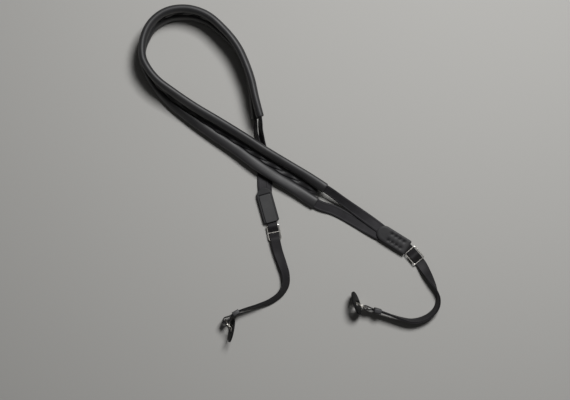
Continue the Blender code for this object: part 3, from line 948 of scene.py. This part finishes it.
STITCH_HOLES = 4
PUCKER_RADIUS = 2.1 * MM
PUCKER_DEPTH = 0.6 * MM
HOLE_RADIUS = 0.75 * MM
HOLE_DEPTH = 0.5 * MM
# A front leaf is pressed in from its face: wholly from the second share of its half thickness up, and not at
# all below the first.
PRESSED_SHARES = (0.3, 0.8)
GROOVE_BEFORE = 0.35 * MM
GROOVE_HALF = 0.45 * MM
GROOVE_DEPTH = 1.1 * MM
EDGE_REACH = 1.3 * MM
EDGE_DROP = 0.35 * MM
THREAD_SIDES = 4
# How far the thread's middle lies under the leaf's face, as a share of its radius, how far from a hole's
# middle a stitch starts, as a share of its length, and how flat a stitch is before it dives into its holes.
THREAD_SUNK = 0.8
STITCH_INSET = 0.06
STITCH_FLATNESS = 4


def tab_frame(end, part, beside):
    """(middle, along, aside, out, half sizes) of a tab's part. Along points to the slider, and out away from
    the part that lies beside it."""
    middle, (along, _, out), half = measured(f"tab_{part}_{end}")
    along = towards(along, measured(f"slider_{end}")[0] - middle)
    out = towards(out, middle - measured(f"tab_{beside}_{end}")[0])
    return middle, along, out.cross(along), out, half


def stitch_holes(half):
    """(along, aside) of each stitch hole from the leaf's middle, row by row."""
    start = half[1] - half[0] + sizes().stitch_start
    rows = []
    for sign in (1, -1):
        rows.append([(start + sizes().stitch * k, sizes().stitch_aside * sign) for k in range(STITCH_HOLES)])
    return rows


def rim_distance(x, y, half):
    """How far a place on a leaf lies inside its rim, which is round at its first end."""
    radius = half[1]
    past = x + half[0] - radius
    to_round = radius - np.hypot(np.minimum(past, 0), y)
    return np.minimum(np.minimum(radius - np.abs(y), half[0] - x), to_round)


def pressed(piece, end):
    """Presses the stitches' puckers and holes into a front leaf's outer face, and slopes its rim."""
    middle, along, aside, out, half = tab_frame(end, "front_leaf", "back_leaf")
    points = points_of(piece.data.vertices)
    x, y, z = reaches(points, middle, (along, aside, out))
    depth = np.zeros(len(points))
    for row in stitch_holes(half):
        for hole_x, hole_y in row:
            away = np.hypot(x - hole_x, y - hole_y)
            depth += PUCKER_DEPTH * faded(away, PUCKER_RADIUS)
            depth += HOLE_DEPTH * faded(away, HOLE_RADIUS)
    depth += EDGE_DROP * faded(np.maximum(rim_distance(x, y, half), 0), EDGE_REACH)
    low, high = PRESSED_SHARES
    share = np.clip((z / half[2] - low) / (high - low), 0, 1)
    move_points(piece, points - np.array(out) * (depth * share)[:, None])


def grooved(piece, end):
    """Presses a groove across a back leaf, just before the edge of the panel that is sewn on it."""
    middle, along, aside, out, half = tab_frame(end, "panel", "back_leaf")
    points = points_of(piece.data.vertices)
    x, y = reaches(points, middle, (along, aside))
    height = reaches(points, measured(f"tab_back_leaf_{end}")[0], [out])[0]
    where = (height > 0) * (np.abs(y) < half[1])
    depth = GROOVE_DEPTH * faded(x + half[0] + GROOVE_BEFORE, GROOVE_HALF) * where
    move_points(piece, points - np.array(out) * depth[:, None])


def thread_stitches(end):
    """The thick stitches of a tab's front, each an arc of thread from hole to hole."""
    middle, along, aside, out, half = tab_frame(end, "front_leaf", "back_leaf")
    made = []
    radius = sizes().thread / 2
    for row in stitch_holes(half):
        for (x, y), (next_x, _) in zip(row, row[1:]):
            piece = added(bpy.ops.curve.primitive_nurbs_path_add, radius=1)
            points = piece.data.splines[0].points
            for i, point in enumerate(points):
                share = i / (len(points) - 1)
                dip = (2 * share - 1) ** STITCH_FLATNESS
                height = half[2] - radius * THREAD_SUNK - dip * (PUCKER_DEPTH + HOLE_DEPTH)
                gone = (next_x - x) * (STITCH_INSET + (1 - 2 * STITCH_INSET) * share)
                point.co = (*(middle + along * (x + gone) + aside * y + out * height), 1)
            piece.data.bevel_depth = radius
            piece.data.bevel_resolution = THREAD_SIDES
            piece.data.use_fill_caps = True
            only(piece)
            bpy.ops.object.convert(target="MESH")
            made.append(piece)
    return as_one(f"tab_stitches_{end}", made)


class STRAP_OT_tabs(bpy.types.Operator):
    """Draws the tabs' leather leaves and panels, and their stitches"""

    bl_idname = "strap.tabs"
    bl_label = "Tabs"

    def execute(self, context):
        thread = material("Waxed thread", waxed_thread, colours().thread)
        for end in ENDS:
            for part in ("panel", "back_leaf", "front_leaf"):
                solid = f"tab_{part}_{end}"
                piece = softened(solid)
                if part == "front_leaf":
                    pressed(piece, end)
                if part == "back_leaf":
                    grooved(piece, end)
                finish = leather("Panel leather" if part == "panel" else "Tab leather")
                finished(piece, finish, [solid], smooth_deg=70)
            finished(thread_stitches(end), thread, [], smooth_deg=60)
        return {"FINISHED"}


# Metal, keepers and discs

WIRE_RADIUS = 0.65 * MM
WIRE_RESOLUTION = 5
BAR_RADIUS = 0.61 * MM
BAR_SIDES = 20
SLIDER_CORNER = 1.3 * MM
CORNER_SEGMENTS = 5
RING_TURNS = 2
RING_STEPS = 96
RING_WIRE_SIDES = 14
RING_WIRE_RADIAL = 0.62 * MM
KEEPER_WALL = 0.85 * MM
KEEPER_CORNER = 1.0 * MM
KEEPER_BEVEL = 0.3 * MM
# The least share of its normal with which a face looks along an axis.
FACING = 0.9
DISC_SIDES = 96
DISC_BEVEL = 0.28 * MM
# The points of a disc's solid within this share of its radius are its slot's.
INSIDE_RIM = 0.9
# How deep the slot's cutter is, in thicknesses of the disc.
CUTTER_DEPTH = 3


def wire_frame(length, width):
    """A rounded frame of round wire, this long and wide to its wire's middle line."""
    piece = added(bpy.ops.mesh.primitive_plane_add, size=1)
    piece.scale = (length, width, 1)
    bpy.ops.object.transform_apply()
    with editing(piece):
        bpy.ops.mesh.delete(type="ONLY_FACE")
        bpy.ops.mesh.select_all(action="SELECT")
        bpy.ops.mesh.bevel(offset=SLIDER_CORNER, segments=CORNER_SEGMENTS, affect="VERTICES")
    bpy.ops.object.convert(target="CURVE")
    piece.data.bevel_depth = WIRE_RADIUS
    piece.data.bevel_resolution = WIRE_RESOLUTION
    bpy.ops.object.convert(target="MESH")
    return bpy.context.object


class STRAP_OT_sliders(bpy.types.Operator):
    """Draws the three-bar wire sliders"""

    bl_idname = "strap.sliders"
    bl_label = "Sliders"

    def execute(self, context):
        half = common_half("slider")
        length, width = (2 * (half[i] - WIRE_RADIUS) for i in range(2))
        wire = wire_frame(length, width)
        bar = added(
            bpy.ops.mesh.primitive_cylinder_add,
            vertices=BAR_SIDES, radius=BAR_RADIUS, depth=width, rotation=(math.pi / 2, 0, 0))
        for end, piece in for_both_ends(as_one("slider", [wire, bar])):
            fitted(piece, f"slider_{end}", bright_metal(), smooth_deg=50)
        return {"FINISHED"}


class STRAP_OT_split_rings(bpy.types.Operator):
    """Winds the split rings from two turns of flattened wire"""

    bl_idname = "strap.split_rings"
    bl_label = "Split rings"

    def execute(self, context):
        half, wire = common_half("split_ring"), sizes().ring_wire
        model = added(
            bpy.ops.mesh.primitive_circle_add,
            vertices=RING_WIRE_SIDES, radius=1, rotation=(math.pi / 2, 0, 0))
        model.scale = (RING_WIRE_RADIAL, wire, wire)
        model.location = (half[0] - RING_WIRE_RADIAL, 0, -RING_TURNS * wire)
        bpy.ops.object.transform_apply()
        modified(
            model, "SCREW", angle=2 * math.pi, iterations=RING_TURNS, screw_offset=2 * wire,
            steps=RING_STEPS, render_steps=RING_STEPS, axis="Z")
        with editing(model):
            bpy.ops.mesh.remove_doubles(threshold=WELD)
            bpy.ops.mesh.fill_holes(sides=0)
        for end, piece in for_both_ends(model):
            fitted(piece, f"split_ring_{end}", bright_metal(), smooth_deg=50)
        return {"FINISHED"}


class STRAP_OT_keepers(bpy.types.Operator):
    """Draws the moulded keepers"""

    bl_idname = "strap.keepers"
    bl_label = "Keepers"

    def execute(self, context):
        half = common_half("keeper")
        model = added(bpy.ops.mesh.primitive_cube_add, size=2)
        model.scale = half
        bpy.ops.object.transform_apply()
        with editing(model):
            select(model, "EDGE", lambda edge: abs((edge.verts[0].co - edge.verts[1].co).y) > half[1])
            bpy.ops.mesh.bevel(offset=KEEPER_CORNER, segments=CORNER_SEGMENTS)
            select(model, "FACE", lambda face: abs(face.normal.y) > FACING)
            bpy.ops.mesh.inset(thickness=KEEPER_WALL)
            bpy.ops.mesh.bridge_edge_loops()
        bevelled(model, KEEPER_BEVEL)
        finish = material("Grey moulded elastomer", moulded_rubber, colours().keeper)
        for end, piece in for_both_ends(model):
            fitted(piece, f"keeper_{end}", finish, smooth_deg=70)
        return {"FINISHED"}


def disc_slot(end):
    """(middle, directions, half sizes) of the slot in a disc's solid. Its first direction points away from
    the disc's middle, which comes last."""
    middle, axes, half = measured(f"lug_disc_{end}")
    points = solid_points(f"lug_disc_{end}")
    x, y = reaches(points, middle, axes[:2])
    slot_middle, slot_axes, slot_half = framed(points[np.hypot(x, y) < half[0] * INSIDE_RIM])
    slot_axes[0] = towards(slot_axes[0], slot_middle - middle)
    return slot_middle, slot_axes, slot_half, middle


class STRAP_OT_lug_discs(bpy.types.Operator):
    """Cuts the slotted leather discs"""

    bl_idname = "strap.lug_discs"
    bl_label = "Lug discs"

    def execute(self, context):
        half = common_half("lug_disc")
        slot_middle, slot_axes, slot_half, middle = disc_slot("right")
        aside = (slot_middle - middle).dot(slot_axes[0])
        model = added(
            bpy.ops.mesh.primitive_cylinder_add, vertices=DISC_SIDES, radius=half[0], depth=2 * half[2])
        cutter = added(bpy.ops.mesh.primitive_cube_add, size=2, location=(aside, 0, 0))
        cutter.scale = (slot_half[0], slot_half[1], CUTTER_DEPTH * half[2])
        bpy.ops.object.transform_apply()
        modified(model, "BOOLEAN", object=cutter, operation="DIFFERENCE", solver="EXACT")
        bpy.data.objects.remove(cutter)
        bevelled(model, DISC_BEVEL)
        for end, piece in for_both_ends(model):
            _, (along, _, out), _, _ = disc_slot(end)
            fitted(
                piece, f"lug_disc_{end}", leather("Disc leather"), smooth_deg=30,
                axes=[along, out.cross(along)])
        return {"FINISHED"}


# The stage

# The camera looks straight down from here, through this lens on a sensor of SENSOR_MM.
CAMERA = Vector((-0.00458, -0.02771, 1.3))
LENS_MM = 75.3
SENSOR_MM = 36.0
CAMERA_REACH = 20
FLOOR_HALF = 2.5
FLOOR_DROP = 0.0002
# The key light comes from the upper right of the picture, just high enough to clear the upper tube.
KEY_PLACE = (0.36, 0.62, 1.23)
KEY_SIZE = 0.4
OVERHEAD_PLACE = (0.1, 0.3, 1.9)
OVERHEAD_SIZE = 1.2


def aimed_light(name, place, size, power):
    """A soft square light that points at the strap's middle."""
    light = added(bpy.ops.object.light_add, type="AREA", location=place)
    light.name = name
    light.data.size = size
    light.data.energy = power
    light.rotation_euler = (-Vector(place)).to_track_quat("-Z", "Y").to_euler()


class STRAP_OT_stage(bpy.types.Operator):
    """Sets up the floor, the soft lights and the camera"""

    bl_idname = "strap.stage"
    bl_label = "Stage"

    def execute(self, context):
        stage = context.scene.strap_stage
        floor = added(bpy.ops.mesh.primitive_plane_add, size=2 * FLOOR_HALF, location=(0, 0, -FLOOR_DROP))
        floor.name = "floor"
        floor.data.materials.append(material("Pale board", pale_board, stage.floor))
        aimed_light("key_light", KEY_PLACE, KEY_SIZE, stage.key)
        aimed_light("overhead_light", OVERHEAD_PLACE, OVERHEAD_SIZE, stage.fill)
        context.scene.view_settings.view_transform = "Standard"
        room = bpy.data.worlds.new("Soft room")
        room.use_nodes = True
        room.node_tree.nodes["Background"].inputs["Color"].default_value = (1, 1, 1, 1)
        room.node_tree.nodes["Background"].inputs["Strength"].default_value = stage.air
        context.scene.world = room
        camera = added(bpy.ops.object.camera_add, location=CAMERA, rotation=(0, 0, 0))
        camera.name = "camera"
        camera.data.lens = LENS_MM
        camera.data.sensor_width = SENSOR_MM
        camera.data.clip_end = CAMERA_REACH
        context.scene.camera = camera
        return {"FINISHED"}


OPERATORS = (
    STRAP_OT_stage,
    STRAP_OT_neck_tubes,
    STRAP_OT_centre_braid,
    STRAP_OT_tapes,
    STRAP_OT_webbing,
    STRAP_OT_tabs,
    STRAP_OT_sliders,
    STRAP_OT_split_rings,
    STRAP_OT_keepers,
    STRAP_OT_lug_discs,
)


class STRAP_PT_panel(bpy.types.Panel):
    """Lists the strap's pieces and what can be changed"""

    bl_idname = "STRAP_PT_panel"
    bl_label = "Neck strap"
    bl_space_type = "VIEW_3D"
    bl_region_type = "UI"
    bl_category = "Neck strap"

    def draw(self, context):
        for group in (context.scene.strap_sizes, context.scene.strap_colours, context.scene.strap_stage):
            for name in group.__annotations__:
                self.layout.prop(group, name)
        for operator in OPERATORS:
            self.layout.operator(operator.bl_idname)


GROUPS = {"strap_sizes": StrapSizes, "strap_colours": StrapColours, "strap_stage": StageSettings}


def register():
    """Registers the classes and gives the scene its settings."""
    for group in (*GROUPS.values(), *OPERATORS, STRAP_PT_panel):
        bpy.utils.register_class(group)
    for name, group in GROUPS.items():
        setattr(bpy.types.Scene, name, PointerProperty(type=group))


def unregister():
    """Takes back what register did."""
    for name in GROUPS:
        delattr(bpy.types.Scene, name)
    for group in (STRAP_PT_panel, *OPERATORS[::-1], *GROUPS.values()):
        bpy.utils.unregister_class(group)


def main():
    """Draws every piece."""
    register()
    for operator in OPERATORS:
        getattr(bpy.ops.strap, operator.bl_idname.split(".")[1])()


if __name__ == "__main__":
    main()
